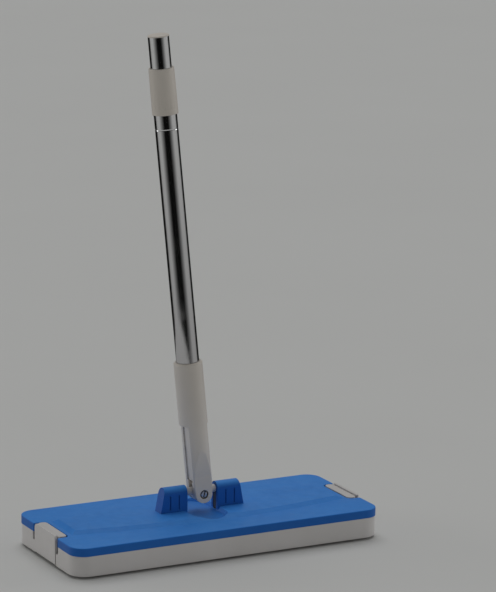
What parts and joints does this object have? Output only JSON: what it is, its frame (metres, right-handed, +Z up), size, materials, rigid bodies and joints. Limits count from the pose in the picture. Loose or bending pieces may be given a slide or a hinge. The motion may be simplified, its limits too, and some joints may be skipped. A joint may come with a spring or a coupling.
{
  "type": "flat mop",
  "caption": "Flat mop head on a sweeper tray with brush rollers, end latches, a two-way swivel joint and a telescopic twist-lock handle.",
  "frame": {"origin": "on the floor, under the middle of the head", "axes": "+Z up, X along the head's length, Y across it; the handle leans towards -X at rest"},
  "size_m": [0.3212, 0.138, 0.4894],
  "materials": {
    "white_plastic": "moulded white plastic, satin",
    "grey_plastic": "moulded warm grey-white plastic, satin",
    "blue_plastic": "moulded blue plastic with a fine grain",
    "dark_plastic": "moulded dark plastic",
    "chrome": "bright chrome-plated steel tube",
    "steel": "zinc-plated steel",
    "bristle": "grey-white nylon bristles",
    "glide": "grey glide pad"
  },
  "bodies": {
    "tray": {"tray_base": "white_plastic", "glide_feet": "glide", "bearing_caps": "white_plastic"},
    "left_latch": {"latch_tab_left": "white_plastic"},
    "right_latch": {"latch_tab_right": "white_plastic"},
    "front_left_roller": {"front_left_roller_core": "white_plastic", "front_left_roller_brush": "bristle", "front_left_roller_axle": "steel"},
    "front_right_roller": {"front_right_roller_core": "white_plastic", "front_right_roller_brush": "bristle", "front_right_roller_axle": "steel"},
    "middle_roller": {"middle_roller_core": "white_plastic", "middle_roller_brush": "bristle", "middle_roller_axle": "steel"},
    "back_left_roller": {"back_left_roller_core": "white_plastic", "back_left_roller_brush": "bristle", "back_left_roller_axle": "steel"},
    "back_right_roller": {"back_right_roller_core": "white_plastic", "back_right_roller_brush": "bristle", "back_right_roller_axle": "steel"},
    "plate": {"mop_plate": "blue_plastic", "trunnion_retainers": "dark_plastic", "retainer_screws": "steel"},
    "cross": {"swivel_cross": "white_plastic", "friction_washers": "steel"},
    "handle": {"handle_socket": "grey_plastic", "pivot_screw": "steel", "pivot_nut": "steel", "lower_tube": "chrome", "lock_ferrule": "dark_plastic", "lock_collet": "white_plastic"},
    "collar": {"lock_collar": "grey_plastic"},
    "extension": {"upper_tube": "chrome", "guide_bush": "white_plastic", "end_plug": "grey_plastic"}
  },
  "joints": [
    {"name": "plate_lift", "type": "slide", "parent": "tray", "child": "plate", "axis": [0, 0, 1], "range_m": [0, 0.08]},
    {"name": "left_latch_flex", "type": "hinge", "parent": "tray", "child": "left_latch", "pos_m": [-0.1594, 0, 0.0042], "axis": [0, -1, 0], "range_deg": [0, 5], "stiffness_Nm_per_rad": 0.6},
    {"name": "right_latch_flex", "type": "hinge", "parent": "tray", "child": "right_latch", "pos_m": [0.1594, 0, 0.0042], "axis": [0, 1, 0], "range_deg": [0, 5], "stiffness_Nm_per_rad": 0.6},
    {"name": "front_left_roller_spin", "type": "hinge", "parent": "tray", "child": "front_left_roller", "pos_m": [-0.07275, -0.044, 0.0118], "axis": [1, 0, 0], "continuous": true},
    {"name": "front_right_roller_spin", "type": "hinge", "parent": "tray", "child": "front_right_roller", "pos_m": [0.07275, -0.044, 0.0118], "axis": [1, 0, 0], "continuous": true},
    {"name": "middle_roller_spin", "type": "hinge", "parent": "tray", "child": "middle_roller", "pos_m": [0, 0, 0.0118], "axis": [1, 0, 0], "continuous": true},
    {"name": "back_left_roller_spin", "type": "hinge", "parent": "tray", "child": "back_left_roller", "pos_m": [-0.07275, 0.044, 0.0118], "axis": [1, 0, 0], "continuous": true},
    {"name": "back_right_roller_spin", "type": "hinge", "parent": "tray", "child": "back_right_roller", "pos_m": [0.07275, 0.044, 0.0118], "axis": [1, 0, 0], "continuous": true},
    {"name": "cross_pitch", "type": "hinge", "parent": "plate", "child": "cross", "pos_m": [0, 0, 0.05], "axis": [1, 0, 0], "range_deg": [-85, 85]},
    {"name": "handle_tilt", "type": "hinge", "parent": "cross", "child": "handle", "pos_m": [0, 0, 0.0478], "axis": [0, 1, 0], "range_deg": [-23, 35]},
    {"name": "collar_twist", "type": "hinge", "parent": "handle", "child": "collar", "pos_m": [-0.03941, 0, 0.4358], "axis": [-0.1011, 0, 0.9949], "range_deg": [0, 90]},
    {"name": "handle_extension", "type": "slide", "parent": "handle", "child": "extension", "axis": [-0.1011, 0, 0.9949], "range_m": [0, 0.2]}
  ]
}
